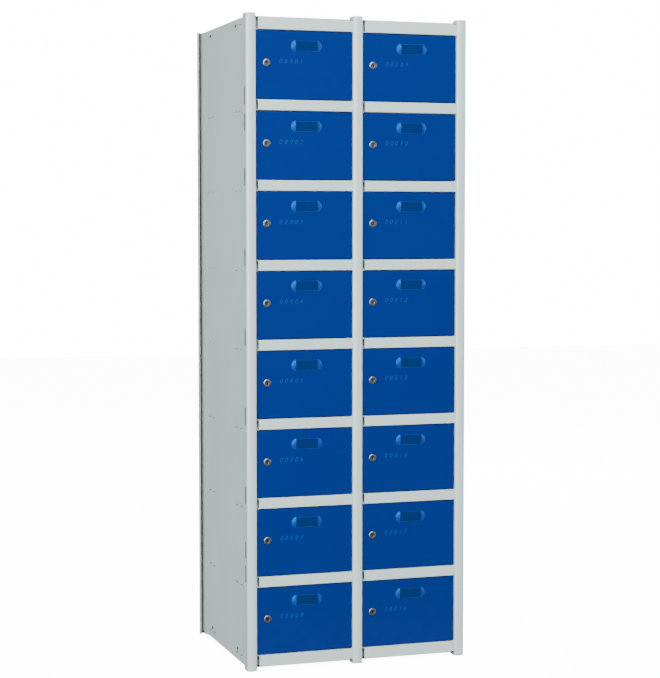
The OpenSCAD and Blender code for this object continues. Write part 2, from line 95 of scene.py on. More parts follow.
class NodeSheet:
    """A node tree that is filled in one line per node."""

    def __init__(self, tree: bpy.types.NodeTree) -> None:
        """Keeps the tree.

        Args:
            tree: The node tree of a group or a material.
        """
        self.tree = tree

    def add(self, kind: str, **settings: object) -> bpy.types.Node:
        """Adds a node.

        Args:
            kind: The node's type name.
            settings: Attributes to set on it.

        Returns:
            The new node.
        """
        node = self.tree.nodes.new(kind)
        for name, value in settings.items():
            setattr(node, name, value)
        return node

    def wire(self, source: bpy.types.NodeSocket, target: bpy.types.NodeSocket) -> None:
        """Links an output to an input.

        Args:
            source: The output.
            target: The input.
        """
        self.tree.links.new(source, target)

    def noise(self, place: bpy.types.NodeSocket, scale: float,
              detail: float) -> bpy.types.NodeSocket:
        """Adds a noise texture.

        Args:
            place: Coordinates to read.
            scale: Cells per metre.
            detail: Octaves.

        Returns:
            The noise value.
        """
        node = self.add("ShaderNodeTexNoise")
        node.inputs["Scale"].default_value = scale
        node.inputs["Detail"].default_value = detail
        self.wire(place, node.inputs["Vector"])
        return node.outputs["Fac"]

    def maths(self, operation: str, first: object, second: object = None,
              third: object = None) -> bpy.types.NodeSocket:
        """Adds a math node.

        Args:
            operation: Its operation.
            first: A socket or a number.
            second: A socket or a number.
            third: A socket or a number.

        Returns:
            The result.
        """
        node = self.add("ShaderNodeMath", operation=operation)
        for socket, value in zip(node.inputs, (first, second, third)):
            if isinstance(value, bpy.types.NodeSocket):
                self.wire(value, socket)
            elif value is not None:
                socket.default_value = value
        return node.outputs[0]

    def ramp(self, value: bpy.types.NodeSocket, low: float, high: float, start: float,
             end: float) -> bpy.types.NodeSocket:
        """Maps a value from one range to another, clamped.

        Args:
            value: What to map.
            low: Value that gives start.
            high: Value that gives end.
            start: Result at low.
            end: Result at high.

        Returns:
            The mapped value.
        """
        node = self.add("ShaderNodeMapRange", clamp=True)
        self.wire(value, node.inputs["Value"])
        for name, number in (("From Min", low), ("From Max", high),
                             ("To Min", start), ("To Max", end)):
            node.inputs[name].default_value = number
        return node.outputs["Result"]

    def blend(self, share: bpy.types.NodeSocket, first: object, second: object,
              mode: str = "MIX") -> bpy.types.NodeSocket:
        """Mixes two colours.

        Args:
            share: How much of the second.
            first: A socket or a colour.
            second: A socket or a colour.
            mode: Blend type.

        Returns:
            The mixed colour.
        """
        node = self.add("ShaderNodeMix", data_type="RGBA", blend_type=mode)
        self.wire(share, node.inputs["Factor"])
        for socket, value in ((node.inputs[6], first), (node.inputs[7], second)):
            if isinstance(value, bpy.types.NodeSocket):
                self.wire(value, socket)
            else:
                socket.default_value = (*value, 1.0)
        return node.outputs[2]


def new_group(name: str, inputs: dict[str, float | Colour],
              outputs: dict[str, str]) -> tuple[bpy.types.NodeTree, NodeSheet]:
    """Starts a shader node group.

    Args:
        name: The group's name.
        inputs: Socket names with a default number or colour each.
        outputs: Socket names with a socket type each.

    Returns:
        The group and a sheet that fills it.
    """
    tree = bpy.data.node_groups.new(name, "ShaderNodeTree")
    for label, value in inputs.items():
        kind = "NodeSocketFloat" if isinstance(value, float) else "NodeSocketColor"
        socket = tree.interface.new_socket(label, in_out="INPUT", socket_type=kind)
        socket.default_value = value if isinstance(value, float) else (*value, 1.0)
    for label, kind in outputs.items():
        tree.interface.new_socket(label, in_out="OUTPUT", socket_type=kind)
    return tree, NodeSheet(tree)


def sheet_relief_group() -> bpy.types.NodeTree:
    """Relief of painted sheet: the paint's orange peel over the sheet's slow waves.

    Returns:
        The group, whose Height is in metres.
    """
    tree, sheet = new_group("Sheet relief", {"Peel": 0.00002, "Peel scale": 500.0, "Wave": 0.0003,
                                             "Wave scale": 4.0}, {"Height": "NodeSocketFloat"})
    given = sheet.add("NodeGroupInput").outputs
    place = sheet.add("ShaderNodeTexCoord").outputs["Object"]
    peel = sheet.add("ShaderNodeTexNoise")
    wave = sheet.add("ShaderNodeTexNoise")
    for node, scale in ((peel, given["Peel scale"]), (wave, given["Wave scale"])):
        sheet.wire(place, node.inputs["Vector"])
        sheet.wire(scale, node.inputs["Scale"])
    peel.inputs["Detail"].default_value = 1.0
    wave.inputs["Detail"].default_value = 0.0
    fine = sheet.maths("MULTIPLY", peel.outputs["Fac"], given["Peel"])
    height = sheet.maths("MULTIPLY_ADD", wave.outputs["Fac"], given["Wave"], fine)
    sheet.wire(height, sheet.add("NodeGroupOutput").inputs["Height"])
    return tree


def paint_tone_group() -> bpy.types.NodeTree:
    """Slow and fine changes in a paint's colour and gloss, with dust low down and on ledges.

    Returns:
        The group, with a Colour and a Roughness.
    """
    tree, sheet = new_group(
        "Paint tone",
        {"Paint": (0.5, 0.5, 0.5), "Mottle": 0.04, "Gloss base": 0.4, "Gloss spread": 0.1,
         "Dust": 0.1, "Dust colour": (0.6, 0.58, 0.54)},
        {"Colour": "NodeSocketColor", "Roughness": "NodeSocketFloat"})
    given = sheet.add("NodeGroupInput").outputs
    space = sheet.add("ShaderNodeTexCoord").outputs
    clouds = sheet.noise(space["Object"], 7.0, 3.0)
    specks = sheet.noise(space["Object"], 230.0, 2.0)
    smears = sheet.noise(space["Object"], 38.0, 4.0)
    uneven = sheet.maths("SUBTRACT", sheet.maths("MULTIPLY_ADD", specks, 0.35, clouds), 0.675)
    bright = sheet.maths("MULTIPLY_ADD", uneven, given["Mottle"], 1.0)
    tint = sheet.add("ShaderNodeVectorMath", operation="SCALE")
    sheet.wire(given["Paint"], tint.inputs["Vector"])
    sheet.wire(bright, tint.inputs["Scale"])
    upward = sheet.add("ShaderNodeSeparateXYZ")
    sheet.wire(space["Normal"], upward.inputs["Vector"])
    level = sheet.add("ShaderNodeSeparateXYZ")
    sheet.wire(space["Object"], level.inputs["Vector"])
    ledge = sheet.ramp(upward.outputs["Z"], 0.6, 1.0, 0.0, 1.0)
    low = sheet.ramp(level.outputs["Z"], 0.0, 0.22, 0.55, 0.0)
    dusty = sheet.maths("MULTIPLY", sheet.maths("MAXIMUM", ledge, low),
                        sheet.maths("MULTIPLY", smears, given["Dust"]))
    colour = sheet.blend(dusty, tint.outputs["Vector"], given["Dust colour"])
    smeared = sheet.maths("SUBTRACT", smears, 0.5)
    gloss = sheet.maths("MULTIPLY_ADD", smeared, given["Gloss spread"], given["Gloss base"])
    rough = sheet.maths("ADD", gloss, sheet.maths("MULTIPLY", dusty, 0.4))
    found = sheet.add("NodeGroupOutput").inputs
    sheet.wire(colour, found["Colour"])
    sheet.wire(rough, found["Roughness"])
    return tree


def turned_metal_group() -> bpy.types.NodeTree:
    """Tool marks and tarnish of plated metal.

    Returns:
        The group, with a Colour, a Roughness and a Height in metres.
    """
    tree, sheet = new_group(
        "Plated metal",
        {"Metal": (0.7, 0.7, 0.7), "Tarnish": (0.4, 0.35, 0.28), "Tarnish share": 0.3,
         "Gloss base": 0.25, "Marks": 0.00001},
        {"Colour": "NodeSocketColor", "Roughness": "NodeSocketFloat", "Height": "NodeSocketFloat"})
    given = sheet.add("NodeGroupInput").outputs
    place = sheet.add("ShaderNodeTexCoord").outputs["Object"]
    stains = sheet.noise(place, 260.0, 4.0)
    marks = sheet.noise(place, 1600.0, 2.0)
    stained = sheet.ramp(stains, 0.45, 0.75, 0.0, 1.0)
    share = sheet.maths("MULTIPLY", stained, given["Tarnish share"])
    found = sheet.add("NodeGroupOutput").inputs
    sheet.wire(sheet.blend(share, given["Metal"], given["Tarnish"]), found["Colour"])
    rough = sheet.maths("MULTIPLY_ADD", marks, 0.12, given["Gloss base"])
    sheet.wire(sheet.maths("MULTIPLY_ADD", share, 0.3, rough), found["Roughness"])
    sheet.wire(sheet.maths("MULTIPLY", marks, given["Marks"]), found["Height"])
    return tree


# ---------------------------------------------------------------- finishes


@dataclass(frozen=True)
class EffectGroups:
    """The node groups that the finishes share."""

    relief: bpy.types.NodeTree
    tone: bpy.types.NodeTree
    metal: bpy.types.NodeTree

    @classmethod
    def build(cls) -> "EffectGroups":
        """Builds each group once."""
        return cls(sheet_relief_group(), paint_tone_group(), turned_metal_group())


def new_material(name: str) -> tuple[bpy.types.Material, NodeSheet, bpy.types.Node]:
    """Starts a material.

    Args:
        name: Its name.

    Returns:
        The material, a sheet that fills its tree, and its Principled BSDF.
    """
    material = bpy.data.materials.new(name)
    material.use_nodes = True
    sheet = NodeSheet(material.node_tree)
    return material, sheet, material.node_tree.nodes["Principled BSDF"]


def use_group(sheet: NodeSheet, group: bpy.types.NodeTree,
              values: dict[str, float | Colour]) -> bpy.types.Node:
    """Places a node group in a material.

    Args:
        sheet: The material's sheet.
        group: The group.
        values: Input names with their numbers and colours.

    Returns:
        The group node.
    """
    node = sheet.add("ShaderNodeGroup", node_tree=group)
    for label, value in values.items():
        node.inputs[label].default_value = value if isinstance(value, float) else (*value, 1.0)
    return node


def use_relief(sheet: NodeSheet, height: bpy.types.NodeSocket, shader: bpy.types.Node) -> None:
    """Feeds a height in metres to a shader's normal.

    Args:
        sheet: The material's sheet.
        height: The height.
        shader: The Principled BSDF.
    """
    bump = sheet.add("ShaderNodeBump")
    bump.inputs["Strength"].default_value = 1.0
    bump.inputs["Distance"].default_value = 1.0
    sheet.wire(height, bump.inputs["Height"])
    sheet.wire(bump.outputs["Normal"], shader.inputs["Normal"])


@dataclass(frozen=True)
class PowderCoat:
    """Baked powder paint on steel sheet."""

    name: str
    colour: Colour
    roughness: float = 0.38
    gloss_spread: float = 0.10
    mottle: float = 0.05
    peel: float = 0.000012
    peel_scale: float = 420.0
    wave: float = 0.0004
    wave_scale: float = 3.5
    dust: float = 0.10
    gloss: float = 0.4
    tint: Colour = (1.0, 1.0, 1.0)
    coat: float = 0.05
    coat_roughness: float = 0.22

    def build(self, groups: EffectGroups) -> bpy.types.Material:
        """Makes the material.

        Args:
            groups: Shared node groups.

        Returns:
            The painted material.
        """
        material, sheet, shader = new_material(self.name)
        tone = use_group(sheet, groups.tone, {
            "Paint": self.colour, "Mottle": self.mottle, "Gloss base": self.roughness,
            "Gloss spread": self.gloss_spread, "Dust": self.dust})
        relief = use_group(sheet, groups.relief, {
            "Peel": self.peel, "Peel scale": self.peel_scale, "Wave": self.wave,
            "Wave scale": self.wave_scale})
        sheet.wire(tone.outputs["Colour"], shader.inputs["Base Color"])
        sheet.wire(tone.outputs["Roughness"], shader.inputs["Roughness"])
        use_relief(sheet, relief.outputs["Height"], shader)
        shader.inputs["Specular IOR Level"].default_value = self.gloss
        shader.inputs["Specular Tint"].default_value = (*self.tint, 1.0)
        shader.inputs["Coat Weight"].default_value = self.coat
        shader.inputs["Coat Roughness"].default_value = self.coat_roughness
        return material


@dataclass(frozen=True)
class PlatedMetal:
    """Nickel or zinc plated steel or die casting."""

    name: str
    metal: Colour
    tarnish: Colour
    tarnish_share: float = 0.3
    roughness: float = 0.22
    marks: float = 0.000004

    def build(self, groups: EffectGroups) -> bpy.types.Material:
        """Makes the material.

        Args:
            groups: Shared node groups.

        Returns:
            The plated material.
        """
        material, sheet, shader = new_material(self.name)
        plate = use_group(sheet, groups.metal, {
            "Metal": self.metal, "Tarnish": self.tarnish, "Tarnish share": self.tarnish_share,
            "Gloss base": self.roughness, "Marks": self.marks})
        sheet.wire(plate.outputs["Colour"], shader.inputs["Base Color"])
        sheet.wire(plate.outputs["Roughness"], shader.inputs["Roughness"])
        use_relief(sheet, plate.outputs["Height"], shader)
        shader.inputs["Metallic"].default_value = 1.0
        return material


@dataclass(frozen=True)
class MouldedPlastic:
    """Moulded or printed plastic, opaque, with a fine grain."""

    name: str
    colour: Colour
    roughness: float = 0.45
    mottle: float = 0.06
    grain: float = 0.000004
    gloss: float = 0.5

    def build(self, groups: EffectGroups) -> bpy.types.Material:
        """Makes the material.

        Args:
            groups: Shared node groups.

        Returns:
            The plastic material.
        """
        material, sheet, shader = new_material(self.name)
        tone = use_group(sheet, groups.tone, {
            "Paint": self.colour, "Mottle": self.mottle, "Gloss base": self.roughness,
            "Gloss spread": 0.08, "Dust": 0.0})
        relief = use_group(sheet, groups.relief, {
            "Peel": self.grain, "Peel scale": 1500.0, "Wave": 0.0, "Wave scale": 4.0})
        sheet.wire(tone.outputs["Colour"], shader.inputs["Base Color"])
        sheet.wire(tone.outputs["Roughness"], shader.inputs["Roughness"])
        use_relief(sheet, relief.outputs["Height"], shader)
        shader.inputs["Specular IOR Level"].default_value = self.gloss
        return material


@dataclass
class Finishes:
    """Every finish of the cabinet, built once."""

    groups: EffectGroups
    frame: bpy.types.Material = field(init=False)
    panel: bpy.types.Material = field(init=False)
    inside: bpy.types.Material = field(init=False)
    shade: bpy.types.Material = field(init=False)
    door: bpy.types.Material = field(init=False)
    louvre_painted_highlight: bpy.types.Material = field(init=False)
    card: bpy.types.Material = field(init=False)
    cover: bpy.types.Material = field(init=False)
    print: bpy.types.Material = field(init=False)
    nickel: bpy.types.Material = field(init=False)
    plug: bpy.types.Material = field(init=False)
    zinc: bpy.types.Material = field(init=False)
    keyway: bpy.types.Material = field(init=False)
    bush: bpy.types.Material = field(init=False)

    def __post_init__(self) -> None:
        """Builds the materials."""
        groups = self.groups
        grey = (0.585, 0.735, 0.725)
        self.frame = PowderCoat("Light grey powder coat", grey, roughness=0.32,
                                gloss=0.9).build(groups)
        self.panel = PowderCoat("Grey sheet powder coat", grey, roughness=0.5,
                                mottle=0.16, wave=0.0009, wave_scale=2.6).build(groups)
        self.inside = PowderCoat("Grey inside powder coat", (0.54, 0.65, 0.64), roughness=0.55,
                                 dust=0.16).build(groups)
        # Painted shade: a near-black finish for places where only shade falls, such as slot edges,
        # sleeve flanks, groove insides, tab ends and the bottom rail's lower fold.
        self.shade = PowderCoat("Painted shade in slots, grooves, tabs and folds", (0.085, 0.088, 0.085),
                                roughness=0.7, gloss=0.2).build(groups)
        blue = (0.3, 0.62, 1.0)
        self.door = PowderCoat("Blue powder coat", (0.0004, 0.0188, 0.168), roughness=0.48,
                               mottle=0.07, dust=0.03, wave=0.0004, wave_scale=5.0,
                               gloss=0.16, tint=blue, coat=0.0).build(groups)
        # Painted highlight: the door's blue paint, made lighter on the louvre domes for the light
        # they catch.
        self.louvre_painted_highlight = PowderCoat("Blue powder coat on the louvres", (0.003, 0.052, 0.30),
                                 roughness=0.36, mottle=0.05, dust=0.0, wave=0.0,
                                 gloss=0.7, tint=(0.06, 0.4, 1.0), coat=0.0).build(groups)
        self.card = MouldedPlastic("Blue card", (0.0006, 0.0225, 0.118), 0.6,
                                   gloss=0.02).build(groups)
        # Painted highlight: the clear cover's folded edges are drawn opaque light blue, lighter
        # than the card.
        self.cover = MouldedPlastic("Card cover edge in light blue, painted highlight", (0.004, 0.075, 0.30), 0.35,
                                    gloss=0.4).build(groups)
        self.print = MouldedPlastic("Printed number", (0.004, 0.060, 0.30), 0.5,
                                    gloss=0.15).build(groups)
        self.nickel = PlatedMetal("Nickel plate", (0.25, 0.265, 0.28), (0.12, 0.11, 0.10),
                                  0.5, 0.28).build(groups)
        # Partly painted shade: a darker copy of the housing's nickel, for the plug's dull plate and
        # for the shade in its recess. The screw heads use it too.
        self.plug = PlatedMetal("Darkened nickel plate, partly painted shade", (0.12, 0.12, 0.12), (0.06, 0.05, 0.04),
                                0.6, 0.34).build(groups)
        self.zinc = PlatedMetal("Zinc plate", (0.55, 0.56, 0.57), (0.25, 0.25, 0.23),
                                0.6, 0.38).build(groups)
        self.keyway = MouldedPlastic("Keyway shade", (0.008, 0.007, 0.006), 0.6,
                                     gloss=0.2).build(groups)
        self.bush = MouldedPlastic("Black bush", (0.03, 0.03, 0.032), 0.5).build(groups)


# ---------------------------------------------------------------- mesh helpers


def select_only(piece: bpy.types.Object) -> None:
    """Makes one object the only selected and the active one.

    Args:
        piece: The object.
    """
    if bpy.context.object and bpy.context.object.mode != "OBJECT":
        bpy.ops.object.mode_set(mode="OBJECT")
    bpy.ops.object.select_all(action="DESELECT")
    piece.select_set(True)
    bpy.context.view_layer.objects.active = piece


def settle(piece: bpy.types.Object) -> None:
    """Puts a piece's place, turn and scale into its mesh.

    Args:
        piece: The object.
    """
    select_only(piece)
    bpy.ops.object.transform_apply(location=True, rotation=True, scale=True)


def finish_with(piece: bpy.types.Object, kind: str, **settings: object) -> None:
    """Adds a modifier and applies it.

    Args:
        piece: The object.
        kind: Modifier type.
        settings: The modifier's settings.
    """
    select_only(piece)
    modifier = piece.modifiers.new(kind.title(), kind)
    for name, value in settings.items():
        setattr(modifier, name, value)
    bpy.ops.object.modifier_apply(modifier=modifier.name)


def smooth(piece: bpy.types.Object, degrees: float) -> None:
    """Smooths all edges flatter than an angle, and keeps large faces flat.

    Args:
        piece: The object.
        degrees: The angle.
    """
    select_only(piece)
    bpy.ops.object.shade_smooth_by_angle(angle=math.radians(degrees))
    finish_with(piece, "WEIGHTED_NORMAL", weight=70, keep_sharp=True)


def copy_of_node(node: bpy.types.Object, name: str) -> bpy.types.Object:
    """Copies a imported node's mesh, merges its loose triangles and smooths its folds.

    Args:
        node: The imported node.
        name: Name of the new piece.

    Returns:
        The new piece, at the node's place.
    """
    mesh = node.data.copy()
    mesh.name = name
    mesh.materials.clear()
    piece = bpy.data.objects.new(name, mesh)
    bpy.context.scene.collection.objects.link(piece)
    select_only(piece)
    bpy.ops.object.mode_set(mode="EDIT")
    bpy.ops.mesh.select_all(action="SELECT")
    bpy.ops.mesh.remove_doubles(threshold=1e-6)
    bpy.ops.object.mode_set(mode="OBJECT")
    smooth(piece, FOLD_ANGLE)
    return piece


def cut_away(piece: bpy.types.Object, centre: Vector, size: Vector) -> None:
    """Cuts a box out of a piece.

    Args:
        piece: The object.
        centre: The box's middle.
        size: The box's three sizes.
    """
    bpy.ops.object.select_all(action="DESELECT")
    bpy.ops.mesh.primitive_cube_add(size=1, location=centre)
    cutter = bpy.context.object
    cutter.scale = size
    settle(cutter)
    finish_with(piece, "BOOLEAN", object=cutter, operation="DIFFERENCE", solver="EXACT")
    bpy.data.objects.remove(cutter)


def screw_head(radius: float, rise: float) -> bpy.types.Object:
    """Models a pan head with a cross recess, which stands on the origin.

    Args:
        radius: The head's radius.
        rise: Its height.

    Returns:
        The head.
    """
    bpy.ops.object.select_all(action="DESELECT")
    bpy.ops.mesh.primitive_cylinder_add(vertices=28, radius=radius, depth=rise,
                                        location=(0, 0, rise / 2))
    head = bpy.context.object
    settle(head)
    edge, reach, width, depth = rise * 0.45, radius * 1.1, radius * 0.26, rise * 0.9
    finish_with(head, "BEVEL", width=edge, segments=3, limit_method="ANGLE")
    for long, wide in ((reach, width), (width, reach)):
        cut_away(head, Vector((0, 0, rise)), Vector((long, wide, depth)))
    smooth(head, 35.0)
    return head


def dress(piece: bpy.types.Object, material: bpy.types.Material) -> None:
    """Gives a whole piece one material.

    Args:
        piece: The object.
        material: The material.
    """
    piece.data.materials.clear()
    piece.data.materials.append(material)


def dress_part(piece: bpy.types.Object, material: bpy.types.Material, low: Vector,
               high: Vector) -> None:
    """Gives the faces inside a box their own material.

    Args:
        piece: The object.
        material: The material.
        low: The box's lowest corner.
        high: The box's highest corner.
    """
    piece.data.materials.append(material)
    index = len(piece.data.materials) - 1
    for face in piece.data.polygons:
        centre = face.center
        if all(low[i] <= centre[i] <= high[i] for i in range(3)):
            face.material_index = index


# ---------------------------------------------------------------- sub-assemblies


@dataclass
class Cabinet:
    """The fixed sheet construction: posts, rails, panels, shelves and backs."""

    frame: dict
    finishes: Finishes
    body: str = "cabinet"
    slot_depth: float = 19 * MM
    slot_width: float = 9 * MM
    post_sheet: float = 1.2 * MM
    panel_sheet: float = 0.8 * MM
    tab_root: float = 0.6 * MM
    rear_post_width: float = 30 * MM
    slot_height: float = 100 * MM
    post_width: float = 28.5 * MM
    rail_gap: float = 6 * MM
    rail_cut: float = 5 * MM
    fold_shade: float = 1.4 * MM
    screw_ends: tuple[float, float] = (110 * MM, 389 * MM)
    screw_low: float = 43 * MM
    screw_high: float = 27 * MM
    screw_radius: float = 4.5 * MM
    screw_rise: float = 2.2 * MM

    def build(self) -> None:
        """Dresses every node of the cabinet's body."""
        nodes = self.frame["nodes"]
        looks = {
            "front_posts": (self.finishes.frame, Slot.FRAME),
            "front_rails": (self.finishes.frame, Slot.FRAME),
            "rear_posts": (self.finishes.frame, Slot.PANEL),
        }
        for name, (material, slot) in looks.items():
            piece = copy_of_node(nodes[name], f"painted_{name}")
            dress(piece, material)
            if name == "front_posts":
                self.shade_slots(piece, 0.0, self.post_sheet)
            if name == "front_rails":
                self.part_rails(piece)
            if name == "rear_posts":
                self.shade_grooves(piece)
            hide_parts(name)
            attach(piece, self.body)
            LOG.info("%s: %d faces", piece.name, len(piece.data.polygons))
        plain = {
            "side_panel_left": self.finishes.panel,
            "side_panel_right": self.finishes.panel,
            "back_panels": self.finishes.panel,
            "top_panels": self.finishes.panel,
            "bottom_panels": self.finishes.inside,
            "shelves": self.finishes.inside,
            "centre_partition": self.finishes.inside,
            "inner_sleeves": self.finishes.inside,
            "hinge_bushes": self.finishes.bush,
        }
        for name, material in plain.items():
            dress(nodes[name], material)
            LOG.info("%s dressed", name)
        self.shade_sleeves(nodes["inner_sleeves"])
        for name in ("side_panel_left", "side_panel_right"):
            self.shade_slots(nodes[name], self.post_sheet, self.post_sheet + self.panel_sheet)
        for name in ("top_panels", "bottom_panels", "shelves"):
            self.shade_tabs(nodes[name])
        self.screw_panels()

    def part_rails(self, rails: bpy.types.Object) -> None:
        """Ends each rail's face short of the post at its left, and paints shade on the bottom
        rail's lower fold.

        Args:
            rails: The rails.
        """
        low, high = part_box("front_rails")
        middle = (low.z + high.z) / 2
        for start in (low.x, self.post_width / 2):
            cut_away(rails, Vector((start + (self.rail_gap - MM) / 2, low.y, middle)),
                     Vector((self.rail_gap + MM, self.rail_cut, high.z - low.z + 10 * MM)))
        smooth(rails, FOLD_ANGLE)
        # Painted shade: the bottom rail's lower fold is made near-black.
        dress_part(rails, self.finishes.shade, low - Vector((MM, MM, MM)),
                   Vector((high.x + MM, high.y + MM, low.z + self.fold_shade)))

    def screw_panels(self) -> None:
        """Adds the screws that hold the top and bottom panels at the side panels."""
        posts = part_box("front_posts")
        for side, node in enumerate(("side_panel_left", "side_panel_right")):
            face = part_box(node)[side].x
            for behind in self.screw_ends:
                for level in (posts[0].z + self.screw_low, posts[1].z - self.screw_high):
                    screw = screw_head(self.screw_radius, self.screw_rise)
                    screw.name = f"screw_{node}_{round(behind / MM)}_{round(level / MM)}"
                    screw.rotation_euler.y = math.radians(180 * side - 90)
                    screw.location = (face, posts[0].y + behind, level)
                    settle(screw)
                    dress(screw, self.finishes.plug)
                    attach(screw, self.body)

    def shade_sleeves(self, sleeves: bpy.types.Object) -> None:
        """Paints the outer sleeves' flanks near-black, as painted shade where the coupling slots
        show them.

        Args:
            sleeves: The sleeves inside the posts.
        """
        low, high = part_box("inner_sleeves")
        for side in (low.x, high.x):
            dress_part(sleeves, self.finishes.shade, Vector((side - SKIN, low.y, low.z)),
                       Vector((side + SKIN, high.y, high.z)))

    def shade_tabs(self, trays: bpy.types.Object) -> None:
        """Paints the tab ends near-black where they stand out of the side panels, as painted shade
        beside the tabs.

        Args:
            trays: The shelves, tops or bottoms.
        """
        low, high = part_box(trays.name)
        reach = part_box("side_panel_right")[1].x - self.tab_root
        for start, end in ((low.x, -reach), (reach, high.x)):
            dress_part(trays, self.finishes.shade, Vector((start, low.y, low.z)),
                       Vector((end, high.y, high.z)))

    def shade_grooves(self, posts: bpy.types.Object) -> None:
        """Paints the outer rear posts near-black inside, as painted shade where the open grooves
        show them.

        Args:
            posts: The rear posts.
        """
        low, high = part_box("rear_posts")
        half = self.post_sheet / 2
        for start, end in ((low.x, low.x + self.rear_post_width),
                           (high.x - self.rear_post_width, high.x)):
            dress_part(posts, self.finishes.shade,
                       Vector((start + half, low.y + half, low.z + half)),
                       Vector((end - half, high.y - half, high.z - half)))

    def shade_slots(self, piece: bpy.types.Object, outside: float, inside: float) -> None:
        """Paints the cut edges of the coupling slots near-black, as painted shade for the hollow
        slots.

        Args:
            piece: The posts or a side panel.
            outside: The sheet's outer face, from the outside of the flank.
            inside: Its inner face.
        """
        low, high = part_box("front_posts")
        middle = low.y + self.slot_depth
        half = self.slot_width / 2 + 0.2 * MM
        near, far = outside + 0.1 * MM, inside - 0.1 * MM
        for start, end in ((low.x + near, low.x + far), (high.x - far, high.x - near)):
            dress_part(piece, self.finishes.shade,
                       Vector((start, middle - half, low.z + self.slot_height)),
                       Vector((end, middle + half, high.z - self.slot_height)))


@dataclass
class DoorSizes:
    """Sizes that the doors share, as in the sheet construction."""

    axis_to_middle: float = 126.25 * MM
    axis_to_face: float = 6 * MM
    card_right: float = 5 * MM
    card_up: float = 52 * MM
    card_w: float = 61 * MM
    card_h: float = 28 * MM
    card_back: float = 0.6 * MM
    card_front: float = 0.62 * MM
    cover_edge: float = 0.7 * MM
    cover_seat: float = 0.55 * MM
    louvre_reach: float = 47 * MM
    louvre_front: float = 9 * MM
    pin_side: float = 5 * MM
    pin_depth: float = 5.2 * MM
    pin_length: float = 10.8 * MM
    lock_left: float = 108.05 * MM
    lock_up: float = 5 * MM
    lock_reach_x: float = 40 * MM
    lock_reach_y: float = 60 * MM
    lock_reach_z: float = 50 * MM
    rim_back: float = 0.5 * MM
    key_w: float = 2 * MM
    key_h: float = 8 * MM
    key_front: float = 1.5 * MM
    barrel: float = 18 * MM
    number_left: float = 73 * MM
    number_up: float = 4 * MM
    number_h: float = 12 * MM
    number_t: float = 0.08 * MM
    digit_share: float = 0.7
    number_spread: float = 1.7
    number_lean: float = 0.2


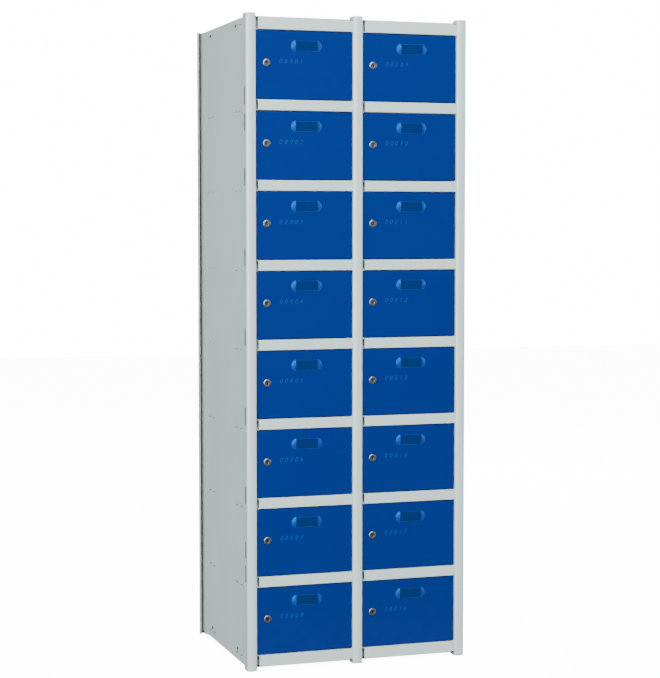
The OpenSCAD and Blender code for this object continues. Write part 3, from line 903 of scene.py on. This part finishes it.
@dataclass
class LockerDoor:
    """One door with its card, its number and its lock."""

    frame: dict
    finishes: Finishes
    sizes: DoorSizes
    number: int

    @property
    def tag(self) -> str:
        """The door's two digits."""
        return f"{self.number:02d}"

    def joint_place(self, name: str) -> Vector:
        """Finds a joint in the frame.

        Args:
            name: The joint's name.

        Returns:
            Its place.
        """
        return next(Vector(j["pos_m"]) for j in self.frame["joints"] if j["name"] == name)

    def face_middle(self) -> Vector:
        """The middle of the door's opening, on its painted face."""
        axis = self.joint_place(f"door_{self.tag}_hinge")
        return axis - Vector((self.sizes.axis_to_middle, self.sizes.axis_to_face, 0))

    def build(self) -> None:
        """Dresses the door, its card, its lock and its number."""
        self.paint_door()
        self.plate_lock()
        self.edge_card()
        self.print_number()
        LOG.info("door %s dressed", self.tag)

    def paint_door(self) -> None:
        """Paints the door's pan, and gives pins and card their own finish."""
        node = f"door_{self.tag}"
        piece = copy_of_node(self.frame["nodes"][node], f"painted_door_{self.tag}")
        dress(piece, self.finishes.door)
        sizes = self.sizes
        middle = self.face_middle()
        card = middle + Vector((sizes.card_right, 0, sizes.card_up))
        reach = Vector((sizes.card_w * 0.6, sizes.card_back, sizes.card_h * 0.52))
        domes = Vector((sizes.louvre_reach, 0, sizes.card_h * 0.65))
        # Painted highlight: the louvre domes get the lightened copy of the door's blue.
        dress_part(piece, self.finishes.louvre_painted_highlight, card - domes - Vector((0, sizes.louvre_front, 0)),
                   card + domes - Vector((0, SKIN, 0)))
        dress_part(piece, self.finishes.card, card - reach,
                   card + reach * 0.999 - Vector((0, sizes.card_front, 0)))
        axis = self.joint_place(f"door_{self.tag}_hinge")
        low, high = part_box(node)
        pin = Vector((sizes.pin_side, sizes.pin_depth, 0))
        for start, end in ((low.z, low.z + sizes.pin_length), (high.z - sizes.pin_length, high.z)):
            dress_part(piece, self.finishes.zinc, Vector((axis.x, axis.y, start)) - pin,
                       Vector((axis.x, axis.y, end)) + pin)
        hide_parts(node)
        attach(piece, node)

    def plate_lock(self) -> None:
        """Plates the lock's housing, plug and cam, and shades the keyway."""
        sizes = self.sizes
        finishes = self.finishes
        axis = self.face_middle() + Vector((-sizes.lock_left, 0, sizes.lock_up))
        around = Vector((sizes.lock_reach_x, 0, sizes.lock_reach_z))
        slot = Vector((sizes.key_w, 0, sizes.key_h)) * 0.51
        for node, body, material in (
                (f"lock_case_{self.tag}", f"door_{self.tag}", finishes.nickel),
                (f"lock_plug_{self.tag}", f"lock_{self.tag}", finishes.plug)):
            piece = copy_of_node(self.frame["nodes"][node], f"plated_{node}")
            dress(piece, material)
            dress_part(piece, finishes.zinc, axis - around + Vector((0, sizes.rim_back, 0)),
                       axis + around + Vector((0, sizes.lock_reach_y, 0)))
            if material is finishes.plug:
                dress_part(piece, finishes.keyway, axis - slot - Vector((0, sizes.key_front, 0)),
                           axis + slot + Vector((0, sizes.barrel, 0)))
            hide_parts(node)
            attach(piece, body)

    def edge_card(self) -> None:
        """Models the folded edges of the card's clear cover, above and below the card."""
        sizes = self.sizes
        card = self.face_middle() + Vector((sizes.card_right, 0, sizes.card_up))
        half_w, half_h, edge = sizes.card_w / 2, sizes.card_h / 2, sizes.cover_edge
        shape = [(0.0, 0.0), (0.0, -0.35), (0.2, -0.62), (0.6, -0.62), (0.85, -0.3), (1.0, 0.0)]
        build = bmesh.new()
        for side in (-1, 1):
            left, right = ([build.verts.new(card + Vector((x, y * edge - sizes.cover_seat,
                                                           side * (half_h - z * edge))))
                            for z, y in shape] for x in (-half_w, half_w))
            for first in range(len(shape) - 1):
                build.faces.new((left[first], right[first], right[first + 1], left[first + 1]))
            build.faces.new(left)
            build.faces.new(right)
            build.faces.new((left[0], right[0], right[-1], left[-1]))
        bmesh.ops.recalc_face_normals(build, faces=build.faces)
        mesh = bpy.data.meshes.new(f"card_cover_{self.tag}")
        build.to_mesh(mesh)
        build.free()
        piece = bpy.data.objects.new(f"card_cover_{self.tag}", mesh)
        bpy.context.scene.collection.objects.link(piece)
        # The clear edges get an opaque light blue: painted highlight.
        dress(piece, self.finishes.cover)
        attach(piece, f"door_{self.tag}")

    def print_number(self) -> None:
        """Prints a plain number on the door."""
        sizes = self.sizes
        place = self.face_middle() + Vector((-sizes.number_left, 0, sizes.number_up))
        select_only(self.frame["nodes"]["front_posts"])
        bpy.ops.object.text_add(location=place, rotation=(math.radians(90), 0, 0))
        label = bpy.context.object
        label.data.body = f"{self.number:05d}"
        label.data.size = sizes.number_h / sizes.digit_share
        label.data.space_character = sizes.number_spread
        label.data.shear = sizes.number_lean
        label.data.extrude = sizes.number_t / 2
        select_only(label)
        bpy.ops.object.convert(target="MESH")
        label.name = f"number_{self.tag}"
        label.location.y -= sizes.number_t
        settle(label)
        dress(label, self.finishes.print)
        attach(label, f"door_{self.tag}")


# ---------------------------------------------------------------- studio


@dataclass
class PhotoCamera:
    """The photograph's viewpoint."""

    place: Vector = field(default_factory=lambda: Vector((-1.6448, -5.0310, 1.2238)))
    turn: float = 18.109
    tilt: float = -3.531
    lens: float = 96.881
    sensor: float = 36.0

    def build(self) -> None:
        """Creates the camera and makes it the scene's."""
        data = bpy.data.cameras.new("Photo camera")
        data.lens = self.lens
        data.sensor_width = self.sensor
        data.sensor_fit = "AUTO"
        camera = bpy.data.objects.new("Photo camera", data)
        camera.location = self.place
        camera.rotation_euler = (math.radians(90 + self.tilt), 0, -math.radians(self.turn))
        bpy.context.scene.collection.objects.link(camera)
        bpy.context.scene.camera = camera


@dataclass(frozen=True)
class SoftBox:
    """A rectangular soft light, seen from the cabinet's middle.

    Side is the angle to the right of the cabinet's front and up the angle above level, both in
    degrees. Light is what a face turned to the lamp gets, as a share of white.
    """

    name: str
    side: float
    up: float
    away: float
    width: float
    height: float
    light: float

    def build(self, target: Vector) -> None:
        """Hangs the light and turns it towards a point.

        Args:
            target: The point.
        """
        data = bpy.data.lights.new(self.name, "AREA")
        data.shape = "RECTANGLE"
        data.size = self.width
        data.size_y = self.height
        data.energy = self.light * (math.pi * self.away) ** 2
        lamp = bpy.data.objects.new(self.name, data)
        side, up = math.radians(self.side), math.radians(self.up)
        way = Vector((math.cos(up) * math.sin(side), -math.cos(up) * math.cos(side), math.sin(up)))
        lamp.location = target + way * self.away
        lamp.rotation_euler = way.to_track_quat("Z", "Y").to_euler()
        bpy.context.scene.collection.objects.link(lamp)


@dataclass
class Studio:
    """A white sweep: a plain floor, an even background and soft boxes."""

    floor_size: float = 24.0
    floor_glow: float = 13.0
    floor_tone: float = 1.6
    floor_bounce: float = 0.15
    background: float = 16.0
    ambient: float = 0.28
    target: Vector = field(default_factory=lambda: Vector((0.0, -0.2, 1.0)))
    boxes: tuple[SoftBox, ...] = (
        SoftBox("Key", -35.0, 8.0, 7.5, 1.6, 4.4, 0.92),
        SoftBox("Front", -6.0, 31.0, 10.0, 2.8, 2.0, 0.77),
        SoftBox("Left", -80.0, 10.0, 6.0, 2.0, 3.6, 0.34),
        SoftBox("Right", 75.0, 12.0, 6.0, 2.0, 3.4, 0.25),
        SoftBox("High", -20.0, 62.0, 5.0, 2.0, 2.0, 0.3),
        SoftBox("Back", 152.0, 25.0, 5.5, 3.0, 3.0, 0.8),
    )

    def build(self) -> None:
        """Makes the floor, the background and the lights."""
        self.lay_floor()
        self.hang_background()
        for box in self.boxes:
            box.build(self.target)

    def lay_floor(self) -> None:
        """Lays the floor, which looks white to the camera and keeps a faint shadow."""
        bpy.ops.object.select_all(action="DESELECT")
        bpy.ops.mesh.primitive_plane_add(size=self.floor_size, location=(0, 0, 0))
        floor = bpy.context.object
        floor.name = "studio_floor"
        material = bpy.data.materials.new("Studio floor")
        material.use_nodes = True
        sheet = NodeSheet(material.node_tree)
        plain = material.node_tree.nodes["Principled BSDF"]
        plain.inputs["Base Color"].default_value = (self.floor_bounce,) * 3 + (1.0,)
        plain.inputs["Roughness"].default_value = 0.9
        bright = sheet.add("ShaderNodeBsdfDiffuse")
        bright.inputs["Color"].default_value = (self.floor_tone,) * 3 + (1.0,)
        glow = sheet.add("ShaderNodeEmission")
        glow.inputs["Strength"].default_value = self.floor_glow
        both = sheet.add("ShaderNodeAddShader")
        sheet.wire(bright.outputs[0], both.inputs[0])
        sheet.wire(glow.outputs[0], both.inputs[1])
        choice = sheet.add("ShaderNodeMixShader")
        sheet.wire(sheet.add("ShaderNodeLightPath").outputs["Is Camera Ray"], choice.inputs[0])
        sheet.wire(plain.outputs[0], choice.inputs[1])
        sheet.wire(both.outputs[0], choice.inputs[2])
        sheet.wire(choice.outputs[0], material.node_tree.nodes["Material Output"].inputs["Surface"])
        dress(floor, material)

    def hang_background(self) -> None:
        """Makes the world: white behind the cabinet, dim as a light."""
        world = bpy.data.worlds.new("Studio world")
        world.use_nodes = True
        sheet = NodeSheet(world.node_tree)
        shade = world.node_tree.nodes["Background"]
        shade.inputs["Color"].default_value = (1.0, 1.0, 1.0, 1.0)
        seen = sheet.add("ShaderNodeLightPath").outputs["Is Camera Ray"]
        sheet.wire(sheet.ramp(seen, 0.0, 1.0, self.ambient, self.background),
                   shade.inputs["Strength"])
        bpy.context.scene.world = world


def main() -> None:
    """Builds the camera, the finishes, the cabinet, the doors and the studio."""
    logging.basicConfig(level=logging.INFO, format="%(message)s")
    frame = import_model()
    PhotoCamera().build()
    finishes = Finishes(EffectGroups.build())
    Cabinet(frame, finishes).build()
    sizes = DoorSizes()
    doors = sorted(name for name in frame["nodes"] if name.startswith("door_"))
    for number in range(1, len(doors) + 1):
        LockerDoor(frame, finishes, sizes, number).build()
    Studio().build()


if __name__ == "__main__":
    main()
